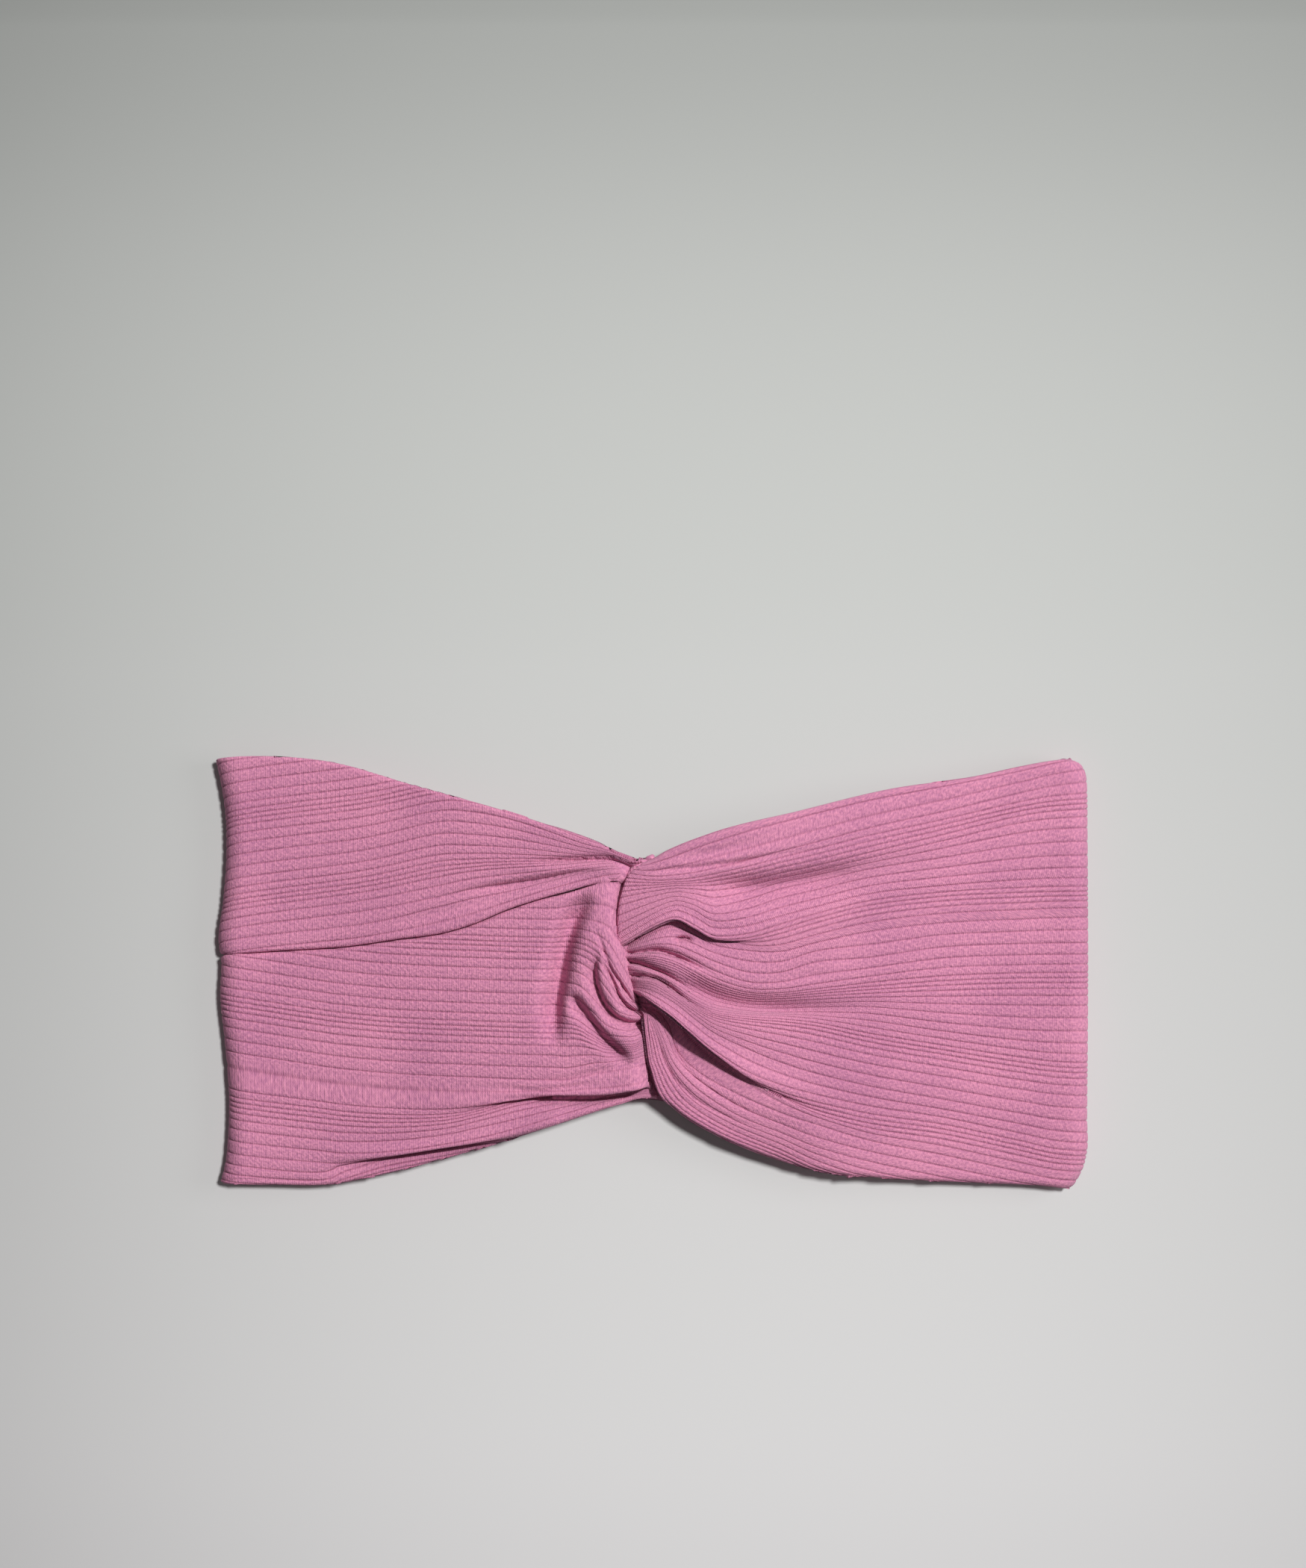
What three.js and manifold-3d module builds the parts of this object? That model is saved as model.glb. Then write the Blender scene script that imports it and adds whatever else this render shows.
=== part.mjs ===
// Twist-front sports headband in rib knit, lying flat.
// Two front wraps hook through each other in a knot at the middle, fold around the two ends and
// are seamed to a back panel underneath. Every wrap and the panel are two plies: face and lining.
// Millimetres. X runs along the band, Y across it, Z up from the table.

import * as THREE from 'three';
import { LoftGeometry } from 'three/addons/geometries/LoftGeometry.js';
import { mergeVertices } from 'three/addons/utils/BufferGeometryUtils.js';
import Module from 'manifold-3d';

const wasm = await Module();
wasm.setup();

// --- driving dimensions -------------------------------------------------------------------

const HALF_LENGTH = 119.9;      // centre of the knot to the folded end
const END_HEIGHT = 11;          // height of the folded end
const PLY = 1.2;                // thickness of one knit layer
const GAP = 0.35;               // clearance between layers that touch
const SEAM_X = 106;             // where the wraps end on the underside
const SEAM_WIDTH = 2.4;         // flatlock seam across the underside

const FOLD_RADIUS = END_HEIGHT / 2;
const FOLD_X = HALF_LENGTH - FOLD_RADIUS;
const LINING_DEPTH = PLY + GAP;
const BAND = 2 * PLY + GAP;     // face and lining together

const HOOK_TOP = 20.4;          // top of the left wrap where it crosses the knot
const HOOK_THICK = 5.4;         // gathered thickness there
const HOOK_X = -1.5;            // where the left wrap turns down through the knot
const TONGUE_THICK = 3.4;       // left wrap's end, returning under the knot
const TONGUE_END_X = -24;
const TONGUE_Z = BAND + GAP + TONGUE_THICK / 2;
const THROAT = { low: -15.5, high: -4.5 };     // edges of the left wrap inside the hole
const TONGUE_FLARE = { low: 0.3, high: 0.5 };  // how fast its edges spread again in the tongue
const THROAT_RATE = 2.2;        // how early in the turn it has narrowed to the throat
const TURN_SHARE = 0.62;        // reach of that turn along X, as a share of its radius

const LOBE_BOTTOM = 7.2;        // underside of the right wrap inside the knot
const LOBE_TOP = 14.5;          // its top where the left wrap covers it
const LOBE_THICK = 9;           // gathered thickness of the right wrap beside the knot
const LOBE_END_X = -12;
const LINING_END_X = 30;        // both linings stop short of the knot
const COVER_START = 5;          // the right wrap starts to rise from under the left one here
const COVER_END = 18;           // and is at its full height here

const GATHER_END = 60;          // the gathers run from the knot out to here
const GATHER_REACH = 48;        // over this length

const TACK = { length: 10, height: 5, thick: 1.6, y: -7 };

const ACROSS = 9;               // facets across the width of a face ply
const DOME = 0.15;              // how much thinner a face ply is at its edges
const GATHERED_EDGE = 0.25;     // share of the thickness left at the edges of a gathered ply
const GATHERED_ROUND = 0.6;     // lower is rounder

// --- outlines seen from above: y of an edge as a smooth function of x ------------------------

const LEFT_TOP = [[-119.9, 57.6], [-113, 59.3], [-89, 57.9], [-52, 47.7], [-15, 35.8], [0, 20], [6, 4]];
const LEFT_BOTTOM = [[-119.9, -58.2], [-104, -57.8], [-88, -53.3], [-62, -48.9], [-40, -45], [-15, -38],
  [0, -26], [6, -18]];
const RIGHT_TOP = [[-12, 20], [-3, 30.5], [9, 36], [40, 44.4], [77, 52.2], [113, 58.3], [119.9, 55.5]];
const RIGHT_BOTTOM = [[-12, -27], [-3, -34.6], [9, -39.9], [21, -46.6], [46, -54.4], [89, -57.7],
  [113, -59.4], [119.9, -55]];
const BACK_TOP = [[-103, 57.4], [-60, 46], [0, 28.5], [60, 46], [103, 55.2]];
const BACK_BOTTOM = [[-103, -58], [-89, -58.2], [-64, -53.3], [-40, -45], [0, -31], [50, -46], [103, -56]];

// The hole through the right wrap's folded end, where the left wrap passes down.
const SLOT = { x: 1.6, y: -10, length: 23, width: 13, turn: 0.3 };

/** A smooth curve y(x) through the given points, flat beyond the last ones. */
function through(points) {
  const slope = (i) => {
    const before = points[Math.max(i - 1, 0)];
    const after = points[Math.min(i + 1, points.length - 1)];
    return (after[1] - before[1]) / (after[0] - before[0]);
  };
  return (x) => {
    const last = points.length - 1;
    if (x <= points[0][0]) return points[0][1];
    if (x >= points[last][0]) return points[last][1];
    const i = points.findIndex((point) => point[0] > x) - 1;
    const [x0, y0] = points[i];
    const [x1, y1] = points[i + 1];
    const span = x1 - x0;
    const t = (x - x0) / span;
    const keepStart = (1 + 2 * t) * (1 - t) ** 2;
    const keepEnd = t * t * (3 - 2 * t);
    const leave = t * (1 - t) ** 2 * span * slope(i);
    const arrive = t * t * (t - 1) * span * slope(i + 1);
    return keepStart * y0 + keepEnd * y1 + leave + arrive;
  };
}

// --- sections -------------------------------------------------------------------------------

/** Share of the thickness left at t across a strip: even at fullness 0, gathered round at 1. */
function swell(t, fullness) {
  const flat = 1 - DOME * (2 * t - 1) ** 2;
  const round = GATHERED_EDGE + (1 - GATHERED_EDGE) * Math.sin(Math.PI * t) ** GATHERED_ROUND;
  return THREE.MathUtils.lerp(flat, round, fullness);
}

/**
 * One cross section of a layer: a strip from y0 to y1 with its middle line at (x, z), tilted by
 * the angle of the path there. With one facet across it is a plain rectangle.
 */
function strip({ x, z, angle = 0, thick = PLY, y0, y1, fullness = 0 }, across) {
  const row = (side) => steps(0, 1, across).map((t) => {
    const share = across === 1 ? 1 : swell(t, fullness);
    const offset = side * share * thick / 2;
    const y = THREE.MathUtils.lerp(y0, y1, t);
    return new THREE.Vector3(x - Math.sin(angle) * offset, y, z + Math.cos(angle) * offset);
  });
  return [...row(-1), ...row(1).reverse()];
}

/** A closed solid skinned through its sections; heading is 1 if they lead towards +X on top. */
function skin(sections, heading, across = ACROSS) {
  const rings = sections.map((section) => {
    const ring = strip(section, across);
    return heading > 0 ? ring : ring.reverse();
  });
  return new LoftGeometry(rings, { capStart: true, capEnd: true });
}

/** Values from a to b in equal steps, both ends included. */
function steps(a, b, count) {
  return Array.from({ length: count + 1 }, (_, i) => THREE.MathUtils.lerp(a, b, i / count));
}

/**
 * The sections of a ply around a folded end, from the underside seam to the top run.
 * side is -1 for the left end and 1 for the right one; depth is how far in the ply lies.
 */
function foldedEnd(side, depth, top, bottom) {
  const radius = FOLD_RADIUS - depth - PLY / 2;
  const wide = (x) => ({ y0: bottom(x), y1: top(x) });
  const seam = { x: side * SEAM_X, z: depth + PLY / 2, angle: side < 0 ? Math.PI : -Math.PI };
  const turn = steps(-Math.PI / 2, Math.PI / 2, 8).map((a) => {
    const x = side * (FOLD_X + radius * Math.cos(a));
    const z = FOLD_RADIUS + radius * Math.sin(a);
    const angle = side < 0 ? Math.PI / 2 - a : a - Math.PI / 2;
    return { x, z, angle, ...wide(side * (FOLD_X + FOLD_RADIUS * Math.cos(a))) };
  });
  return [{ ...seam, ...wide(side * HALF_LENGTH) }, ...turn];
}

/** Height of the top run's upper face: level at the folded end, rising to the knot. */
function crownZ(x) {
  const t = THREE.MathUtils.clamp(1 - Math.abs(x) / FOLD_X, 0, 1);
  return END_HEIGHT + (HOOK_TOP - END_HEIGHT) * t * t * (3 - 2 * t);
}

/** Thickness of a face ply: one layer at the ends, several gathered layers at the knot. */
function gather(x, knotThick) {
  const t = THREE.MathUtils.smoothstep(GATHER_END - Math.abs(x), 0, GATHER_REACH);
  return THREE.MathUtils.lerp(PLY, knotThick, t);
}

// --- pieces ---------------------------------------------------------------------------------

/** Left wrap: over the right one, down through its hole, and back under it as a tongue. */
function leftWrapFace() {
  const top = through(LEFT_TOP);
  const bottom = through(LEFT_BOTTOM);
  const run = steps(-FOLD_X, HOOK_X, 18).slice(1).map((x) => {
    const thick = gather(x, HOOK_THICK);
    const fullness = (thick - PLY) / (HOOK_THICK - PLY);
    return { x, z: crownZ(x) - thick / 2, thick, fullness, y0: bottom(x), y1: top(x) };
  });
  const start = run[run.length - 1];
  const radius = (start.z - TONGUE_Z) / 2;
  const turn = steps(0, Math.PI, 8).slice(1).map((a) => {
    const narrow = Math.min(1, THROAT_RATE * Math.sin(a / 2));
    const thick = THREE.MathUtils.lerp(HOOK_THICK, TONGUE_THICK, a / Math.PI);
    const x = HOOK_X + TURN_SHARE * radius * Math.sin(a);
    const z = TONGUE_Z + radius * (1 + Math.cos(a));
    const y0 = THREE.MathUtils.lerp(start.y0, THROAT.low, narrow);
    const y1 = THREE.MathUtils.lerp(start.y1, THROAT.high, narrow);
    return { x, z, angle: -a, thick, fullness: 1, y0, y1 };
  });
  const tongue = steps(HOOK_X, TONGUE_END_X, 4).slice(1).map((x) => ({
    x, z: TONGUE_Z, angle: -Math.PI, thick: TONGUE_THICK, fullness: 1,
    y0: THROAT.low - TONGUE_FLARE.low * (HOOK_X - x), y1: THROAT.high + TONGUE_FLARE.high * (HOOK_X - x),
  }));
  return skin([...foldedEnd(-1, 0, top, bottom), ...run, ...turn, ...tongue], 1);
}

/** Right wrap: its gathered end lies under the left wrap and has the hole that one goes through. */
function rightWrapFace() {
  const top = through(RIGHT_TOP);
  const bottom = through(RIGHT_BOTTOM);
  const run = steps(FOLD_X, LOBE_END_X, 22).slice(1).map((x) => {
    const cover = THREE.MathUtils.smoothstep(x, COVER_START, COVER_END);
    const upper = THREE.MathUtils.lerp(LOBE_TOP, crownZ(x), cover);
    const thick = Math.min(gather(x, LOBE_THICK), upper - LOBE_BOTTOM);
    const fullness = (thick - PLY) / LOBE_THICK;
    return { x, z: upper - thick / 2, thick, fullness, y0: bottom(x), y1: top(x) };
  });
  return cut(skin([...foldedEnd(1, 0, top, bottom), ...run], -1), slotCutter());
}

/** Upright bar with round ends, its length along X. */
function roundEnded(length, width, height, curveSegments) {
  const reach = (length - width) / 2;
  const outline = new THREE.Shape();
  outline.absarc(reach, 0, width / 2, -Math.PI / 2, Math.PI / 2, false);
  outline.absarc(-reach, 0, width / 2, Math.PI / 2, 1.5 * Math.PI, false);
  return new THREE.ExtrudeGeometry(outline, { depth: height, bevelEnabled: false, curveSegments });
}

/** Upright plug that opens the hole in the right wrap. */
function slotCutter() {
  const plug = roundEnded(SLOT.length, SLOT.width, 2 * HOOK_TOP, 8);
  plug.rotateZ(Math.PI / 2 + SLOT.turn);
  plug.translate(SLOT.x, SLOT.y, 0);
  return plug;
}

/** Inner ply of a wrap: around the fold like the face, ending before the knot. */
function wrapLining(side, knotThick, edgeTop, edgeBottom) {
  const top = through(edgeTop);
  const bottom = through(edgeBottom);
  const run = steps(side * FOLD_X, side * LINING_END_X, 14).slice(1).map((x) => {
    const face = gather(x, knotThick);
    return { x, z: crownZ(x) - face - GAP - PLY / 2, y0: bottom(x), y1: top(x) };
  });
  return skin([...foldedEnd(side, LINING_DEPTH, top, bottom), ...run], -side, 1);
}

/** One ply of the back panel, flat on the table or one layer up. */
function backPanel(depth) {
  const top = through(BACK_TOP);
  const bottom = through(BACK_BOTTOM);
  const end = SEAM_X - SEAM_WIDTH - 2 * GAP;
  const run = steps(-end, end, 20).map((x) => ({ x, z: depth + PLY / 2, y0: bottom(x), y1: top(x) }));
  return skin(run, 1, 1);
}

/** Flatlock seam that joins a wrap's end to the back panel, as deep as both plies. */
function sideSeam(side, edgeTop, edgeBottom) {
  const y1 = through(edgeTop)(side * HALF_LENGTH) - GAP;
  const y0 = through(edgeBottom)(side * HALF_LENGTH) + GAP;
  const x = side * (SEAM_X - GAP - SEAM_WIDTH / 2);
  const seam = new THREE.BoxGeometry(SEAM_WIDTH, y1 - y0, BAND);
  seam.translate(x, (y0 + y1) / 2, BAND / 2);
  return seam;
}

/** Bar tack that holds the tongue's end up against the left wrap. */
function tackStitch() {
  const bar = roundEnded(TACK.length, TACK.thick, TACK.height, 6);
  bar.rotateZ(Math.PI / 2);
  bar.translate(TONGUE_END_X - GAP - TACK.thick / 2, TACK.y, BAND + GAP);
  return bar;
}

// --- cutting ----------------------------------------------------------------------------------

/** A three.js geometry as a manifold solid. */
function toSolid(geometry) {
  const bare = new THREE.BufferGeometry().copy(geometry);
  bare.deleteAttribute('normal');
  bare.deleteAttribute('uv');
  const welded = mergeVertices(bare, 1e-4);
  return new wasm.Manifold(new wasm.Mesh({
    numProp: 3,
    vertProperties: new Float32Array(welded.attributes.position.array),
    triVerts: new Uint32Array(welded.index.array),
  }));
}

/** What is left of a geometry when the cutter is taken away from it. */
function cut(geometry, cutter) {
  const { vertProperties, triVerts } = toSolid(geometry).subtract(toSolid(cutter)).getMesh();
  const left = new THREE.BufferGeometry();
  left.setAttribute('position', new THREE.BufferAttribute(new Float32Array(vertProperties), 3));
  left.setIndex(new THREE.BufferAttribute(new Uint32Array(triVerts), 1));
  left.computeVertexNormals();
  return left;
}

// --- assembly ---------------------------------------------------------------------------------

const faceKnit = () => new THREE.MeshStandardMaterial({ color: 0xc9829f, roughness: 0.9, metalness: 0 });
const liningKnit = () => new THREE.MeshStandardMaterial({ color: 0xbd7793, roughness: 0.92, metalness: 0 });
const thread = () => new THREE.MeshStandardMaterial({ color: 0xb46c89, roughness: 0.75, metalness: 0 });

const headband = new THREE.Group();

function add(name, geometry, material) {
  const mesh = new THREE.Mesh(geometry, material);
  mesh.name = name;
  headband.add(mesh);
}

add('left_wrap_face', leftWrapFace(), faceKnit());
add('left_wrap_lining', wrapLining(-1, HOOK_THICK, LEFT_TOP, LEFT_BOTTOM), liningKnit());
add('right_wrap_face', rightWrapFace(), faceKnit());
add('right_wrap_lining', wrapLining(1, LOBE_THICK, RIGHT_TOP, RIGHT_BOTTOM), liningKnit());
add('back_panel_face', backPanel(0), faceKnit());
add('back_panel_lining', backPanel(LINING_DEPTH), liningKnit());
add('left_side_seam', sideSeam(-1, LEFT_TOP, LEFT_BOTTOM), thread());
add('right_side_seam', sideSeam(1, RIGHT_TOP, RIGHT_BOTTOM), thread());
add('knot_tack_stitch', tackStitch(), thread());

export default headband;
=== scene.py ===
"""Twist-front sports headband in rib knit, lying flat on a pale floor.

Lengths in this script are millimetres in the frame of the part (+X along the band, +Y across it,
+Z up) until a mesh is made. Every knit layer starts as a flat lay-out: guide curves that follow
the ribs, with v, the distance across the fabric. The lay-out is then lifted to its height, pressed
in along its creases, rolled over at the band's edges and folded around the band's ends.
"""
import math

import bpy
import numpy as np
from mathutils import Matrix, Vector


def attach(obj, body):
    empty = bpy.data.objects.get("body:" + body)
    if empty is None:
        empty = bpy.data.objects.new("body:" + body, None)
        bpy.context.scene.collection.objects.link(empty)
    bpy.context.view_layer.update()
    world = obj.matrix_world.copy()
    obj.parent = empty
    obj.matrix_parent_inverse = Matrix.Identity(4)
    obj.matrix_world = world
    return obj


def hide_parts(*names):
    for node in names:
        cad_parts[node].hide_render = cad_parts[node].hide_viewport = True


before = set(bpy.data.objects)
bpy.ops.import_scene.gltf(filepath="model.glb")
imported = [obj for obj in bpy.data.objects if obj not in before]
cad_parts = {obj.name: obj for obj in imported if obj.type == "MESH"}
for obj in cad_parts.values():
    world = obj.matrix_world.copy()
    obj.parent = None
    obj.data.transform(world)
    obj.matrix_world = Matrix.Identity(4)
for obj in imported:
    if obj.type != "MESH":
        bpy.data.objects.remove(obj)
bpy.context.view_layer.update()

MM = 0.001

# --- dimensions of the band -------------------------------------------------------------------

END_HEIGHT = 11.0     # height of the folded ends
KNOT_HEIGHT = 20.4    # height of the front beside the knot
FOLD_X = 114.4        # where the top run starts to turn down around an end
PLY = 1.2             # thickness of one knit layer
SEAM_X = 106.0        # where the wraps end on the underside
LAID_END = 141.0      # nominal x of a wrap's sewn end while it is still laid out flat

# Outline of the whole band from above, (x, y).
TOP_EDGE = [(-126, 57.8), (-118, 59.0), (-108, 59.4), (-89, 57.9), (-64.6, 51.1), (-40, 44.2),
            (-15.4, 35.8), (-3.1, 30.6), (-0.6, 31.1), (3.1, 33.2), (15.4, 38.2), (40, 44.4),
            (64.6, 50.3), (89, 53.9), (101.5, 56.6), (110, 58.2), (116, 58.7), (126, 58.7)]
BOTTOM_EDGE = [(-122, -58.2), (-104, -58.4), (-89, -58.3), (-77, -56.1), (-52.3, -49.5),
               (-27.7, -41.9), (-9.2, -36), (-3.1, -34.5), (2.5, -35.2), (9.2, -39.9),
               (21.5, -46.6), (33.8, -51.3), (46, -54.4), (64.6, -56.4), (89, -57.8),
               (107.6, -58.8), (114, -59.5), (126, -59.5)]
# The folded ends, (y, x).
LEFT_END = [(-60, -120.4), (-57, -119), (-52, -117.7), (-46, -117.1), (-36, -116.8), (-20, -117.9),
            (-6, -119.3), (3, -119), (8, -119.7), (20, -118.4), (34, -117.5), (46, -118.1),
            (54, -119.5), (58, -120.4), (60, -120.8)]
RIGHT_END = [(-60.5, 115.4), (-59, 115.9), (-57, 117), (-54, 118.5), (-50, 119.5), (-40, 119.6),
             (0, 119.9), (40, 119.7), (50, 119.6), (54, 119.3), (56.4, 118.4), (57.8, 117), (59, 114.6)]

# Rib repeat across the fabric: wide ribs that narrow and widen again.
RIBS = [1.4, 1.3, 1.5, 1.9, 2.6, 3.3, 3.4, 3.1, 2.7, 2.2]
GROOVE_DEPTH = 0.30   # of a groove, where the ribs lie open
GROOVE_WIDTH = 0.17   # from a groove's middle to well up its side
RIB_SHOULDER = 0.4    # from a groove's middle to where its rib begins
RIB_PILLOW = 0.07     # how far a rib's middle stands above its sides
ROW_GAP = 0.08        # least distance between two rows of a mesh

CREVICE = 0.32        # how quickly the sides of a sharp crease open
CREASE_POINTS = 70    # along each crease, to find the nearest one
UNDER_TUCK = 0.5      # how far the underside's edges stay inside the top's edges

LINING_INNER_X = 30.0   # where the wraps' linings stop, beside the knot
LINING_PLY = 0.8        # thickness of a lining
HEM_INSET = 2.5         # from the band's edge to a lining's edge
BACK_END_X = 102.9      # where the back panel ends, at the seams
BACK_LINING_Z = 3.6     # underside of the back panel's lining

LADDER_PITCH = 0.55   # between the ladder stitches along a groove
COURSE_PITCH = 0.5    # between knit courses, along the band
WALE_PITCH = 0.55     # between knit wales, across the band

FLOOR_SIZE = 6.0         # metres
CAMERA_HEIGHT = 1500.0
SENSOR_HEIGHT = 24.0
FRAME_HEIGHT = 430.4     # that the picture covers, at the height of the folded ends
FRAME_CENTRE_Y = 51.7    # that the camera looks straight down at


def spline(knots, values, at):
    """Smooth curve through values at knots, evaluated at the parameters at."""
    knots = np.asarray(knots, float)
    values = np.asarray(values, float)
    at = np.clip(np.asarray(at, float), knots[0], knots[-1])
    slope = np.gradient(values, knots, axis=0)
    i = np.clip(np.searchsorted(knots, at, "right") - 1, 0, len(knots) - 2)
    span = knots[i + 1] - knots[i]
    t = (at - knots[i]) / span
    extra = (1,) * (values.ndim - 1)
    t = t.reshape(t.shape + extra)
    span = span.reshape(span.shape + extra)
    return ((1 + 2 * t) * (1 - t) ** 2 * values[i] + t * (1 - t) ** 2 * span * slope[i]
            + t * t * (3 - 2 * t) * values[i + 1] + t * t * (t - 1) * span * slope[i + 1])


def curve(points):
    """y as a smooth function of x through points."""
    knots = [p[0] for p in points]
    values = [p[1] for p in points]
    return lambda x: spline(knots, values, x)


top_edge = curve(TOP_EDGE)
bottom_edge = curve(BOTTOM_EDGE)
left_end = curve(LEFT_END)
right_end = curve(RIGHT_END)


def smooth(t):
    """0 up to t = 0, 1 from t = 1, and a smooth step between."""
    t = np.clip(t, 0, 1)
    return t * t * (3 - 2 * t)


def crown(x):
    """Height of the front's upper face: level at the folded ends, rising to the knot."""
    t = np.clip(1 - np.abs(x) / FOLD_X, 0, 1)
    return END_HEIGHT + (KNOT_HEIGHT - END_HEIGHT) * smooth(t)


def rib_rows(width, start=0.0):
    """Positions across the fabric where the mesh has rows, and the grooves between the ribs."""
    grooves = []
    at = -start
    while at < width + 4:
        for rib in RIBS:
            grooves.append(at)
            at += rib
    grooves = np.array(grooves)
    rows = [0.0, width]
    for a, b in zip(grooves, grooves[1:]):
        rows += [a - RIB_SHOULDER, a - GROOVE_WIDTH, a, a + GROOVE_WIDTH, a + RIB_SHOULDER]
        inner = 3 if b - a > 2 else 1
        rows += list(np.linspace(a + RIB_SHOULDER, b - RIB_SHOULDER, inner + 2)[1:-1])
    rows = np.array(sorted(r for r in rows if 0 <= r <= width))
    keep = np.concatenate([[True], np.diff(rows) > ROW_GAP])
    return rows[keep], grooves


def rib_relief(v, grooves):
    """How deep each row lies in a groove (0 to 1) and how far it bulges between two grooves."""
    i = np.clip(np.searchsorted(grooves, v, "right") - 1, 0, len(grooves) - 2)
    before = v - grooves[i]
    after = grooves[i + 1] - v
    width = before + after
    groove = np.exp(-(np.minimum(np.abs(before), np.abs(after)) / GROOVE_WIDTH) ** 2)
    pillow = 1 - (2 * before / width - 1) ** 2
    return groove, pillow


def crease(x, y, points, depth, widths, core=0.0, ends=(0.18, 0.12)):
    """Depth of a valley along a smooth line through points.

    widths are its half widths on the left and on the right of the line, core is the share of the
    depth that is a thin crevice, and ends are the shares of its length over which it fades.
    """
    s = np.linspace(0, 1, CREASE_POINTS)
    line = spline(np.linspace(0, 1, len(points)), points, s)
    px = x[..., None] - line[:, 0]
    py = y[..., None] - line[:, 1]
    near = np.argmin(px ** 2 + py ** 2, axis=-1)
    direction = np.gradient(line, axis=0)
    direction /= np.linalg.norm(direction, axis=1)[:, None]
    gap_x = x - line[near, 0]
    gap_y = y - line[near, 1]
    side = direction[near, 0] * gap_y - direction[near, 1] * gap_x
    distance = np.hypot(gap_x, gap_y)
    width = np.where(side > 0, widths[0], widths[1])
    along = s[near]
    fade = smooth(along / max(ends[0], 1e-3)) * smooth((1 - along) / max(ends[1], 1e-3))
    shape = (1 - core) * np.exp(-(distance / width) ** 2) + core * np.exp(-distance / CREVICE)
    return depth * fade * shape


def mound(x, y, centre, radii, height):
    """Height of a soft round swelling."""
    return height * np.exp(-((x - centre[0]) / radii[0]) ** 2 - ((y - centre[1]) / radii[1]) ** 2)


def lay_out(guides, columns, rows):
    """Flat positions and depth offsets of a layer's grid, from guides (v, [(x, y, depth), ...])."""
    knots = [v for v, _ in guides]
    control = np.array([[(*p, 0.0)[:3] for p in points] for _, points in guides])
    spans = control.shape[1] - 1
    steps = [np.linspace(i, i + 1, columns[i], endpoint=False) for i in range(spans)]
    u = np.concatenate([*steps, [spans]])
    along = spline(np.arange(spans + 1), control.transpose(1, 0, 2), u)
    return spline(knots, along.transpose(1, 0, 2), rows)


def roll_edges(y, depth, low, high, radius):
    """Turns the flat lay-out under where it passes the band's lower or upper edge."""
    for edge, way in ((high, 1), (low, -1)):
        if edge is None:
            continue
        past = way * (y - edge) + radius
        angle = np.clip(past / radius, 0, math.pi)
        beyond = np.maximum(past - math.pi * radius, 0)
        turned = edge + way * (radius * np.sin(angle) - radius - beyond)
        y = np.where(past > 0, turned, y)
        depth = np.where(past > 0, depth + radius * (1 - np.cos(angle)), depth)
    return y, depth


def fold_ends(x, y, depth, height, side, end):
    """Wraps the lay-out around the band's folded end on that side (-1 or 1), up to its seam."""
    out = side * end(y)
    radius = END_HEIGHT / 2
    start = out - radius
    sewn = start + math.pi * radius + start - SEAM_X
    laid = np.maximum(side * x - FOLD_X, 0) / (LAID_END - FOLD_X)
    x = np.where(laid > 0, side * (FOLD_X + laid * (sewn - FOLD_X)), x)
    past = side * x - start
    angle = np.clip(past / radius, 0, math.pi)
    under = np.maximum(past - math.pi * radius, 0)
    reach = radius - depth
    turned_x = side * (out - radius + reach * np.sin(angle) - under)
    turned_z = radius + reach * np.cos(angle)
    folding = past > 0
    return np.where(folding, turned_x, x), np.where(folding, turned_z, height - depth)


def knit_sheet(name, x, y, z, u, v, groove, material, thickness=PLY, keep=None, upward=True):
    """A mesh of one knit layer from its grid, thickened inwards.

    u and v are its place in the fabric, groove says how deep each point lies in a groove, keep says
    which points the layer really has, and upward is False for a layer whose outside faces down.
    """
    rows, columns = x.shape
    index = np.arange(rows * columns).reshape(rows, columns)
    quads = np.stack([index[:-1, :-1], index[:-1, 1:], index[1:, 1:], index[1:, :-1]], axis=-1)
    middle = slice(columns // 3, columns // 3 * 2)
    turn = np.diff(x[:, middle], axis=1)[:-1] * np.diff(y[:, middle], axis=0)[:, :-1]
    if (turn.sum() > 0) != upward:
        quads = quads[..., ::-1]
    if keep is not None:
        wanted = keep[:-1, :-1] & keep[:-1, 1:] & keep[1:, 1:] & keep[1:, :-1]
        quads = quads[wanted]
    quads = quads.reshape(-1, 4)
    used, quads = np.unique(quads, return_inverse=True)
    quads = quads.reshape(-1, 4)
    points = np.stack([x.ravel(), y.ravel(), z.ravel()], axis=1)[used] * MM
    mesh = bpy.data.meshes.new(name)
    mesh.from_pydata(points.tolist(), [], quads.tolist())
    uv = np.stack([u.ravel(), v.ravel()], axis=1)[used]
    layer = mesh.uv_layers.new(name="knit")
    corners = np.zeros(len(mesh.loops), np.int32)
    mesh.loops.foreach_get("vertex_index", corners)
    layer.data.foreach_set("uv", uv[corners].ravel().astype(np.float32))
    # The groove attribute also sets the ladder stitches and painted shade of the grooves in the material.
    mask = mesh.attributes.new("groove", "FLOAT", "POINT")
    mask.data.foreach_set("value", groove.ravel()[used].astype(np.float32))
    mesh.polygons.foreach_set("use_smooth", [True] * len(mesh.polygons))
    mesh.materials.append(material)
    piece = bpy.data.objects.new(name, mesh)
    bpy.context.scene.collection.objects.link(piece)
    solid = piece.modifiers.new("thickness", "SOLIDIFY")
    solid.thickness = thickness * MM
    solid.offset = -1
    return piece


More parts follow.
